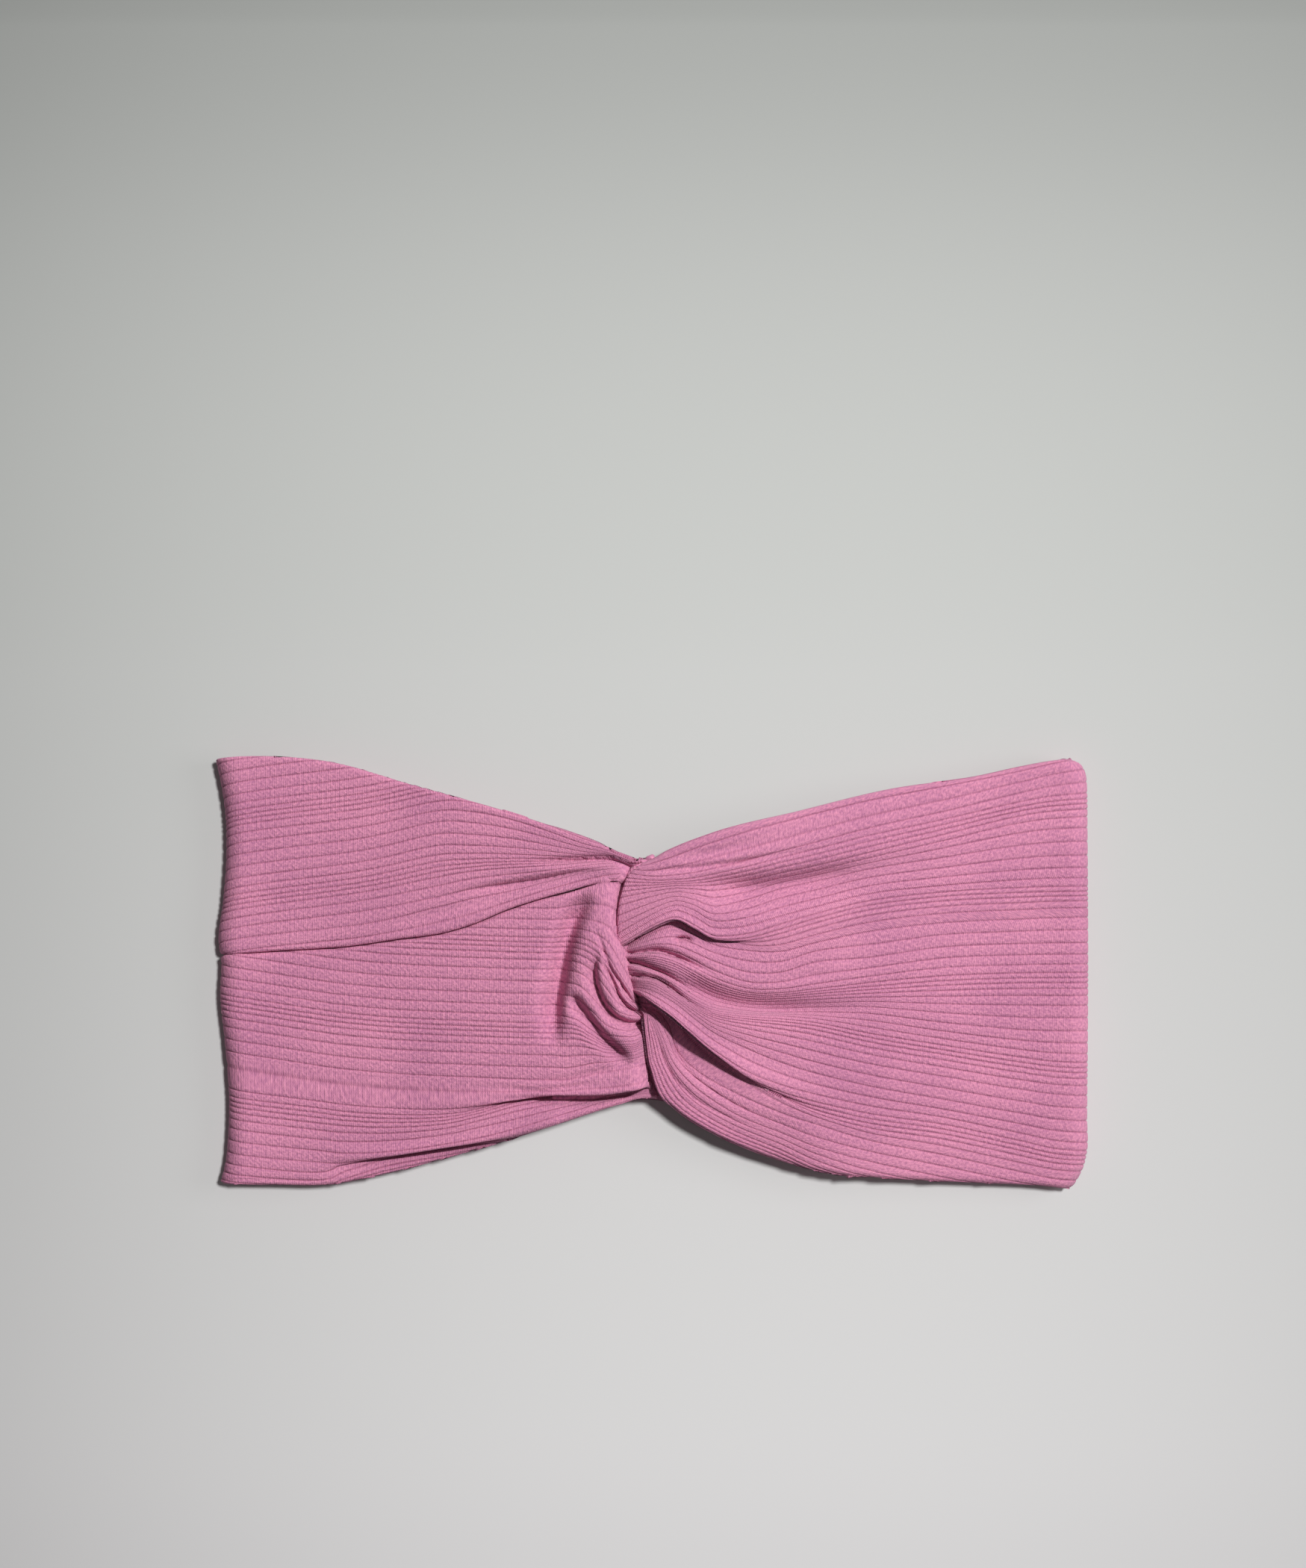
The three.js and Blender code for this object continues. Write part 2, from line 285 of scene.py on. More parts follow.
def knit_layer(name, guides, columns, side, material, relief=None, low=None, high=None,
               start=0.0, roll=1.7, hem=6.0, ribbed=True, thickness=PLY):
    """One layer of a wrap: lay-out, ribs, creases, edges rolled under low and high, folded end."""
    width = guides[-1][0]
    rows, grooves = rib_rows(width, start)
    if not ribbed:
        rows = np.linspace(0, width, 60)
    grid = lay_out(guides, columns, rows)
    x, y, depth = grid[..., 0], grid[..., 1], grid[..., 2]
    groove = np.zeros_like(x)
    if ribbed:
        groove_row, pillow = rib_relief(rows, grooves)
        # Where the fabric is gathered its ribs close up: they stand less proud, between grooves with more
        # painted shade.
        stretch = np.hypot(np.gradient(x, rows, axis=0), np.gradient(y, rows, axis=0))
        open_ribs = np.clip(1.15 * stretch, 0.1, 1)
        groove = groove_row[:, None] * np.clip(1.7 - 0.8 * stretch, 0.7, 1.5)
        depth = depth + open_ribs * (GROOVE_DEPTH * groove + RIB_PILLOW * (1 - pillow[:, None]))
    end = left_end if side < 0 else right_end
    seen_x, seen_z = fold_ends(x, y, depth, crown(x), side, end)
    tuck = UNDER_TUCK * (np.abs(x) > FOLD_X) * (seen_z < END_HEIGHT / 2)
    low_line = None if low is None else low(seen_x) + tuck
    high_line = None if high is None else high(seen_x) - tuck
    past = np.zeros_like(y)
    if low is not None:
        past = np.maximum(past, low_line - y)
    if high is not None:
        past = np.maximum(past, y - high_line)
    steps = np.hypot(np.diff(x, axis=1), np.diff(y, axis=1))
    u = np.concatenate([np.zeros((len(rows), 1)), np.cumsum(steps, axis=1)], axis=1)
    v = rows[:, None] * np.ones_like(x)
    rolled_y, depth = roll_edges(y, depth, low_line, high_line, roll)
    if relief is not None:
        depth = depth + relief(x, rolled_y)
    out_x, z = fold_ends(x, rolled_y, depth, crown(x), side, end)
    return knit_sheet(name, out_x, rolled_y, z, u, v, groove, material, thickness,
                      keep=past < math.pi * roll + hem)


def dress(piece, node):
    """Registers a visual piece: it rides on the root body and stands for the CAD node, which is hidden.
    """
    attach(piece, "root")
    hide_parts(node)


# --- materials ------------------------------------------------------------------------------------


def math_nodes(tree):
    """A function that adds a math node of that kind to the tree, fed with values or sockets."""

    def add(operation, *values):
        node = tree.nodes.new("ShaderNodeMath")
        node.operation = operation
        for socket, value in zip(node.inputs, values):
            if isinstance(value, (int, float)):
                socket.default_value = value
            else:
                tree.links.new(value, socket)
        return node.outputs[0]

    return add


def knit_material(name, colour, ladder_and_shade_colour):
    """Rib knit: fine stitches with soft colour variation, and dark ladder stitches with painted shade in
    the grooves.

    Its nodes work in the millimetres of the UV map: X runs along the ribs and Y across them.
    """
    mat = bpy.data.materials.new(name)
    mat.use_nodes = True
    nodes = mat.node_tree.nodes
    links = mat.node_tree.links
    shader = nodes["Principled BSDF"]
    shader.inputs["Roughness"].default_value = 0.92
    shader.inputs["Specular IOR Level"].default_value = 0.25
    shader.inputs["Sheen Weight"].default_value = 0.22
    shader.inputs["Sheen Roughness"].default_value = 0.45
    shader.inputs["Sheen Tint"].default_value = (1.0, 0.72, 0.86, 1)

    uv = nodes.new("ShaderNodeUVMap")
    uv.uv_map = "knit"
    split = nodes.new("ShaderNodeSeparateXYZ")
    links.new(uv.outputs["UV"], split.inputs[0])
    groove = nodes.new("ShaderNodeAttribute")
    groove.attribute_name = "groove"
    math_node = math_nodes(mat.node_tree)

    def noise(scale, detail, source):
        node = nodes.new("ShaderNodeTexNoise")
        node.inputs["Scale"].default_value = scale
        node.inputs["Detail"].default_value = detail
        links.new(source, node.inputs["Vector"])
        return node.outputs["Fac"]

    # Slanting ladder stitches cross each groove, stronger in some places than in others; with them the
    # groove mask paints shade into the grooves.
    slant = math_node("MULTIPLY_ADD", split.outputs["Y"], 0.8, split.outputs["X"])
    ladder = math_node("SINE", math_node("MULTIPLY", slant, 2 * math.pi / LADDER_PITCH))
    ladder = math_node("MULTIPLY_ADD", ladder, 0.35, 0.65)
    stretch = nodes.new("ShaderNodeMapping")
    stretch.inputs["Scale"].default_value = (0.06, 0.5, 1)
    links.new(uv.outputs["UV"], stretch.inputs["Vector"])
    uneven = noise(1.0, 2.0, stretch.outputs["Vector"])
    dark = math_node("MULTIPLY", groove.outputs["Fac"], ladder)
    dark = math_node("MULTIPLY", dark, math_node("MULTIPLY_ADD", uneven, 1.5, 0.05))

    # Knit stitches: two crossed fine waves give the small V shapes of the loops.
    wale = math_node("MULTIPLY", split.outputs["Y"], 2 * math.pi / WALE_PITCH)
    lean = math_node("MULTIPLY", math_node("ABSOLUTE", math_node("SINE", wale)), 1.3)
    course = math_node("MULTIPLY", split.outputs["X"], 2 * math.pi / COURSE_PITCH)
    stitch = math_node("SINE", math_node("ADD", course, lean))
    fuzz = noise(1.3, 4.0, uv.outputs["UV"])
    cloud = noise(0.035, 2.0, uv.outputs["UV"])

    tone = math_node("MULTIPLY_ADD", stitch, 0.035, 0.5)
    tone = math_node("ADD", tone, math_node("MULTIPLY_ADD", fuzz, 2.4, -1.2))
    tone = math_node("ADD", tone, math_node("MULTIPLY_ADD", cloud, 0.9, -0.45))
    ramp = nodes.new("ShaderNodeValToRGB")
    darker, lighter = ramp.color_ramp.elements
    darker.position = 0.1
    lighter.position = 0.9
    darker.color = (colour[0] * 0.78, colour[1] * 0.77, colour[2] * 0.84, 1)
    lighter.color = (colour[0] * 1.2, colour[1] * 1.27, colour[2] * 1.18, 1)
    links.new(tone, ramp.inputs["Fac"])
    mix = nodes.new("ShaderNodeMix")
    mix.data_type = "RGBA"
    # Grooves are mixed towards the second colour: the ladder stitches and painted shade in the grooves.
    links.new(dark, mix.inputs["Factor"])
    links.new(ramp.outputs["Color"], mix.inputs["A"])
    mix.inputs["B"].default_value = (*ladder_and_shade_colour, 1)
    links.new(mix.outputs["Result"], shader.inputs["Base Color"])

    height = math_node("MULTIPLY_ADD", stitch, 0.25, math_node("MULTIPLY", fuzz, 2.2))
    bump = nodes.new("ShaderNodeBump")
    bump.inputs["Strength"].default_value = 0.7
    bump.inputs["Distance"].default_value = 0.25 * MM
    links.new(height, bump.inputs["Height"])
    links.new(bump.outputs["Normal"], shader.inputs["Normal"])
    return mat


# Each second colour is the dark of the ladder stitches plus painted shade in the grooves or between the
# thread's stitches.
FACE = knit_material("face_knit", (0.62, 0.228, 0.37), (0.22, 0.05, 0.10))
LINING = knit_material("lining_knit", (0.50, 0.175, 0.30), (0.20, 0.05, 0.095))
THREAD = knit_material("seam_thread", (0.52, 0.18, 0.31), (0.25, 0.07, 0.13))

# --- left wrap ------------------------------------------------------------------------------------

# Lower edge of the upper flap, which lies over the lower panel.
flap_edge = curve([(-142, 2), (-119, 4.7), (-102, 5.9), (-83, 7.2), (-70, 9.1), (-57, 11), (-49, 13.4),
                   (-40, 17.2), (-31, 20.2), (-23, 22.4), (-15, 24.6), (-9, 25.6), (-2, 25.6)])

FLAP_COLUMNS = (-LAID_END, -114, -80, -60, -50, -40, -30, -20, -13)


def flap_rib(v, ys, *knot):
    """One rib of the upper flap: its y at each of the flap's columns, then its way into the knot."""
    return v, [*zip(FLAP_COLUMNS, ys), *knot]


UPPER_FLAP = [
    flap_rib(0, (-8, -2.5, 1.5, 5, 7.5, 11.5, 14.8, 18, 20.2), (-9.4, 21.4, 0.6), (-6, 22.4, 3),
             (-3, 22.5, 7)),
    flap_rib(6, (-2, 3.8, 7.8, 10.8, 13.2, 17.4, 20.6, 23.5, 25.2), (-9.6, 26, 0.4), (-6.4, 26.6, 2.4),
             (-3, 26.5, 6)),
    flap_rib(10, (2, 7.8, 11.6, 16.3, 18.8, 21.1, 24, 26.6, 27.9), (-9.4, 28, 0.3), (-6, 27.8, 2.4),
             (-3, 27.4, 6)),
    flap_rib(14, (6, 11.8, 16.2, 20, 22.4, 24, 25.6, 27.8, 29), (-9.2, 29, 0.4), (-5.6, 28.3, 2.2),
             (-2.6, 28, 6)),
    flap_rib(18.5, (10.6, 16.3, 21, 25, 26.9, 28, 28.8, 29.8, 30.4), (-9, 29.9, 0.5), (-5.2, 28.7, 2),
             (-2.4, 28.4, 6)),
    flap_rib(25, (17, 22.8, 27.4, 31.6, 32.2, 32.2, 31.9, 31.4, 31.4), (-8.6, 30.7, 0.6), (-4.6, 29, 1.6),
             (-2, 28.8, 5)),
    flap_rib(32, (23.6, 29.6, 34, 38.4, 38.4, 37.4, 35.6, 33.6, 32.6), (-8.4, 31.3), (-4.4, 29.8, 0.9),
             (-1.6, 29.2, 4)),
    flap_rib(39, (30.4, 36.5, 41, 45.2, 45.2, 43.2, 40, 36.2, 34.2), (-8.4, 32.4), (-4.4, 30.8, 0.7),
             (-1.6, 30, 4)),
    flap_rib(47, (38.4, 44.5, 49, 53, 53, 50.4, 46.6, 42, 39.4), (-8.4, 37), (-4.6, 35), (-2, 34, 2)),
    flap_rib(66, (57, 63, 67.6, 72, 72, 69.4, 65, 60, 57), (-8.4, 54), (-4.6, 52), (-2, 50)),
]


# How much higher up the band, in y, each rib of the lower panel lies than it does at the knot.
lower_rise = curve([(-LAID_END, 10.4), (-114, 6.8), (-92, 3.5), (-80, 2.1), (-65, 1.1), (-50, 0.6),
                    (-38, 0.2), (-28, 0)])
LOWER_COLUMNS = (-LAID_END, -114, -92, -84, -72, -58, -48, -38, -28)


def level_rib(v, knot_y, *knot):
    """A rib of the lower panel that arrives at the knot at that y."""
    return v, [*[(x, knot_y + float(lower_rise(x))) for x in LOWER_COLUMNS], *knot]


def low_rib(v, ys, depths, *knot):
    """A rib of the lower panel with its own y at each column, and depths where it is tucked under."""
    return v, [*zip(LOWER_COLUMNS, ys, depths), *knot]


OPEN = (0,) * len(LOWER_COLUMNS)    # depths of a rib that is tucked under nowhere
LOWER_PANEL = [
    level_rib(0, 22, (-24, 22.9), (-20, 24.4), (-16, 25.8), (-12, 26.6, 0.3), (-8.4, 26.6, 2),
              (-5, 26, 6)),
    level_rib(7, 15, (-24, 15.2), (-20, 15.4), (-16, 14.9), (-12, 13.4), (-9.6, 10.4, 1), (-6.5, 6, 5)),
    level_rib(12.5, 9.5, (-25, 9.6), (-20.5, 9.6), (-16.6, 8.3), (-12.6, 4.9), (-9, -0.8, 0.5),
              (-4.2, -8.4, 4)),
    level_rib(19, 3, (-24.4, 2.9), (-20, 2.2), (-16.2, -0.4), (-13, -4.6), (-9.2, -8.8),
              (-3.4, -11.3, 4)),
    level_rib(25.4, -3.4, (-25, -3.6), (-20.5, -4.4), (-16.6, -7.8), (-12.6, -12), (-8, -14.1),
              (-2.5, -13.8, 4)),
    level_rib(32, -10, (-25, -10.2), (-20.8, -11.4), (-17, -14.3), (-12.6, -17.4), (-5.8, -17.8),
              (-2.2, -16.4, 4)),
    level_rib(37.6, -15.6, (-25, -15.6), (-20.5, -16), (-16.4, -18), (-12, -20), (-5.4, -20),
              (-1.9, -18.4, 4)),
    level_rib(44.5, -22.5, (-24, -22.8), (-20, -22.5), (-16, -22.4), (-12, -22.9), (-5.2, -22.4),
              (-1.7, -21, 4)),
    level_rib(50.7, -28.7, (-24, -28.7), (-20, -28), (-16, -27), (-12, -26.3), (-5, -25),
              (-1.5, -24.2, 4)),
    level_rib(53.5, -31.5, (-24, -31.4), (-20, -30.8), (-16, -30.4), (-12, -30.1), (-4.8, -29.2),
              (-1.4, -27.8, 4)),
    # The panel's lower fold, which hangs over the strip below it near the knot.
    low_rib(56, (-27.5, -31.6, -34.4, -35.4, -36.3, -36.6, -36, -34.8, -33.5), OPEN,
            (-24, -33.4), (-20, -33.4), (-16, -33.3), (-12, -33.1), (-4.6, -31.9), (-1.4, -31, 3)),
    low_rib(57.2, (-28.7, -32.8, -35.6, -36.6, -37.4, -37.6, -36.6, -34.6, -33),
            (0, 0, 0, 0, 0, 0.3, 0.8, 1.4, 1.6), (-24, -32.8, 1.7), (-20, -32.8, 1.7), (-16, -32.7, 1.7),
            (-12, -32.5, 1.7), (-7.2, -32, 2), (-1.6, -31, 4)),
    low_rib(59.5, (-31, -35, -37.6, -38.6, -39.2, -39, -37.4, -34.2, -31.4),
            (0, 0, 0, 0, 0, 0.4, 1.2, 2.6, 3.4), (-24, -31.2, 3.6), (-20, -31.2, 3.6), (-16, -31, 3.6),
            (-12, -30.8, 3.6), (-7.2, -30.6, 4), (0, -31, 6)),
    low_rib(62.5, (-34, -38, -40.6, -41.4, -41.8, -41, -38.9, -36, -34),
            (0, 0, 0, 0, 0, 0.2, 0.8, 1.8, 2.8), (-24, -33.8, 3.2), (-20, -33.6, 3.4), (-16, -33.2, 3.4),
            (-12, -33, 3.6), (-7.2, -32.4, 4), (0.5, -32, 6.5)),
    low_rib(68, (-39.5, -43.5, -46, -46.6, -46.2, -44.6, -42.5, -40.2, -37.6),
            (0, 0, 0, 0, 0, 0, 0.2, 0.6, 1), (-24, -36.6, 1.8), (-20, -35.8, 2.6), (-16, -34.9, 3),
            (-12, -34.2, 3.2), (-7.2, -33.4, 3.8), (1, -33, 7)),
    low_rib(74, (-45.5, -49.6, -51.6, -51.9, -50.3, -48, -46.4, -44.6, -42), OPEN, (-24, -40.6, 1),
            (-20, -39.2, 1.6), (-16, -37.7, 2.2), (-12, -36.4, 2.6), (-7.2, -35, 3.4), (1.2, -34.6, 7)),
    low_rib(75.2, (-46.7, -50.8, -52.8, -52.6, -49.9, -47.5, -46, -45.2, -43.4),
            (0, 0, 0, 0.8, 1.6, 1.6, 1.5, 1, 0.6), (-24, -41.8, 1), (-20, -40.4, 1.6), (-16, -39, 2),
            (-12, -37.6, 2.6), (-7.2, -36.2, 3.4), (1.2, -35.8, 7)),
    low_rib(77.5, (-49, -53, -54.8, -52, -48.4, -46, -45, -45.6, -45.6),
            (0, 0, 0.1, 1.5, 3, 3, 2.6, 2, 1), (-24, -44, 1), (-20, -42.6, 1.6), (-16, -41.2, 2),
            (-12, -39.8, 2.6), (-7.2, -38.4, 3.4), (1.2, -38, 7)),
    low_rib(80, (-51.5, -55.4, -56.8, -54.2, -50.6, -48.2, -46.8, -46.6, -48),
            (0, 0, 0.1, 1, 2.2, 2.6, 2.4, 2, 1), (-24, -46.4, 1), (-20, -45, 1.6), (-16, -43.6, 2),
            (-12, -42.2, 2.6), (-7.2, -40.8, 3.4), (1.2, -40.4, 7)),
    low_rib(94, (-65.5, -69.4, -70.4, -67.8, -64, -61.6, -60.2, -60, -62),
            (0, 0, 0.1, 0.8, 1.6, 1.9, 2, 2, 1), (-24, -60.4, 1), (-20, -59, 1.6), (-16, -57.6, 2),
            (-12, -56.2, 2.6), (-7.2, -54.8, 3.4), (1.2, -54.4, 7)),
]


# Where the right wrap's edge lies over the left wrap, from the knot's middle up to its notch.
KNOT_BOUNDARY = [(-9.6, 7), (-10, 12.9), (-9.8, 17), (-9, 21.6), (-7.5, 26), (-5.9, 28.4), (-3.2, 30.6)]


def upper_flap_relief(x, y):
    """Creases of the left wrap's upper flap; the first is the hollow between its two rolls."""
    return (crease(x, y, [(-64, 19), (-50.5, 22.3), (-40.9, 23.9), (-30.6, 25.5), (-20, 27.6),
                          (-10, 28.6)], 2.4, (1.1, 2.4), 0.35, ends=(0.45, 0.25))
            # A shallow fold below it.
            + crease(x, y, [(-78, 11.6), (-64, 15.2), (-50.5, 18.6), (-42, 20.8), (-33, 23.4)],
                     0.8, (1.2, 1.6), 0.3, ends=(0.4, 0.4))
            # The deep fold that runs into the notch above the knot.
            + crease(x, y, [(-40, 30.4), (-30, 30.8), (-19.8, 31.1), (-13, 31.3), (-8.4, 30.5),
                            (-5, 28.8)], 3.6, (0.9, 2.0), 0.45, ends=(0.5, 0.02))
            # Where the right wrap's edge presses on it.
            + crease(x, y, KNOT_BOUNDARY, 2.4, (0.9, 0.9), 0.3, ends=(0.02, 0.02))
            # The roll between the hollow and the deep fold.
            - mound(x, y, (-24, 28.8), (14, 2.2), 0.9))


def lower_panel_relief(x, y):
    """Creases of the left wrap's lower panel and the spiral of the knot."""
    # The panel sinks under the flap, from just before the flap's edge; less far before it at the fold.
    lap = 1.2 - 0.6 * smooth((-110 - x) / 6)
    under_flap = smooth((y - flap_edge(x) + lap) / 1.6) * smooth((-13 - x) / 6)
    return (2.1 * under_flap
            # The broad hollow on the left of the knot's spiral.
            + crease(x, y, [(-16, 22.5), (-18.6, 19), (-21.6, 14), (-24, 6.5), (-25.4, -0.9), (-26.8, -9),
                            (-26.9, -15.6), (-26.2, -22)], 6.0, (2.2, 3.2), ends=(0.3, 0.3))
            # Where the right wrap's edge presses on it.
            + crease(x, y, KNOT_BOUNDARY, 2.2, (0.9, 0.9), 0.3, ends=(0.1, 0.02))
            # Folds of the spiral, with the deepest one along its lower left side.
            + crease(x, y, [(-16.6, 13.6), (-14.6, 9.5), (-13, 5), (-11, 0.5), (-8.5, -3.4), (-5.6, -7)],
                     1.5, (0.6, 0.6), 0.5, ends=(0.4, 0.1))
            + crease(x, y, [(-19, 8.5), (-18.6, 3), (-18.4, -3), (-16.4, -9.6), (-12.8, -13.6),
                            (-8, -15.8)], 0.5, (0.7, 0.7), 0.4, ends=(0.4, 0.4))
            + crease(x, y, [(-14.4, 7.5), (-15.9, 2), (-15.7, -2.5), (-13.7, -8), (-10.4, -11.8),
                            (-6.2, -13.7), (-2.2, -13.8)], 4.6, (1.0, 1.8), 0.3, ends=(0.25, 0.02))
            + crease(x, y, [(-14.6, 4.5), (-12.4, 1), (-10.6, -2.8), (-9, -6.8), (-6.2, -9.9),
                            (-2.4, -11.2)], 3.4, (0.7, 0.7), 0.4, ends=(0.35, 0.02))
            + crease(x, y, [(-11, 1.5), (-9.5, -1.5), (-7.9, -4.6), (-6, -7.2), (-2.7, -9.4)], 1.6,
                     (0.6, 0.6), 0.4, ends=(0.35, 0.02))
            # The long fold that passes below the spiral.
            + crease(x, y, [(-24, -5.4), (-21.4, -7.3), (-19, -10.1), (-16.6, -13.4), (-13.8, -17.2),
                            (-10.6, -20.2), (-7.9, -22.6), (-5, -23)], 3.9, (1.3, 2.2), ends=(0.25, 0.25))
            # Fine folds above the panel's lower fold.
            + crease(x, y, [(-40, -28), (-26, -28.8), (-18, -27.4), (-10, -25.7), (-3, -24)], 0.8,
                     (0.8, 0.8), 0.5, ends=(0.4, 0.05))
            + crease(x, y, [(-54, -34.2), (-42, -34.4), (-34, -33.4), (-28, -32.6)], 0.9, (0.6, 0.8), 0.5,
                     ends=(0.4, 0.3))
            + crease(x, y, [(-60, -31.2), (-44, -31.4), (-32, -32), (-22, -30.9), (-12, -30)], 0.9,
                     (0.8, 0.8), 0.6, ends=(0.4, 0.2))
            + crease(x, y, [(-44, -35.2), (-34, -34.2), (-24, -34.2), (-14, -34), (-4, -32.8)], 2.4,
                     (0.6, 1.8), 0.2, ends=(0.5, 0.1))
            # The line of the hem at the left end.
            + crease(x, y, [(-119, -57), (-110, -57), (-98, -57.2), (-88, -57.2)], 0.5, (0.4, 0.4), 0.6,
                     ends=(0.1, 0.3))
            # The knot itself, and the cloth that bulges below it.
            - mound(x, y, (-14.5, 3), (8, 15), 2.8)
            - mound(x, y, (-9, -17.5), (7, 5), 0.8))


# Mesh columns from each guide point to the next, here and for the right wrap.
LOWER_STEPS = [16, 16, 9, 14, 14, 12, 14, 16, 9, 9, 9, 9, 9, 8]
FLAP_STEPS = [18, 24, 18, 12, 14, 16, 18, 16, 9, 9, 8]

left_lower = knit_layer("left_wrap_lower_panel", LOWER_PANEL, LOWER_STEPS, -1, FACE, lower_panel_relief,
                        low=bottom_edge, start=11.1, roll=1.4)
left_upper = knit_layer("left_wrap_upper_flap", UPPER_FLAP, FLAP_STEPS, -1, FACE, upper_flap_relief,
                        low=flap_edge, high=top_edge, start=4.0, roll=0.9)
dress(left_lower, "left_wrap_face")
dress(left_upper, "left_wrap_face")

# --- right wrap -----------------------------------------------------------------------------------

RIGHT_COLUMNS = (0, 6, 11, 17, 26, 35, 45, 60, 80, 100, 114.5, LAID_END)
FAR_COLUMNS = RIGHT_COLUMNS[5:]


def fan_rib(v, root, ys, depths=(), over=False):
    """A rib of the right wrap, from its root at the knot to the right end.

    It comes out from under the left wrap there, or lies over it with its edge turned in.
    """
    depths = [*depths, *[0] * (len(ys) - len(depths))]
    tuck = (1.4, 0, 2.6) if over else (-3.0, -0.5, 4.5)
    tucked = tuple(a + b for a, b in zip(root, tuck))
    return v, [tucked, root, *zip(RIGHT_COLUMNS, ys, depths)]


def leg_rib(v, near, ys, depths=()):
    """A rib of the lower right leg, which leaves the knot steeply downwards."""
    depths = [*depths, *[0] * (len(ys) - len(depths))]
    return v, [*near, *zip(FAR_COLUMNS, ys, depths)]


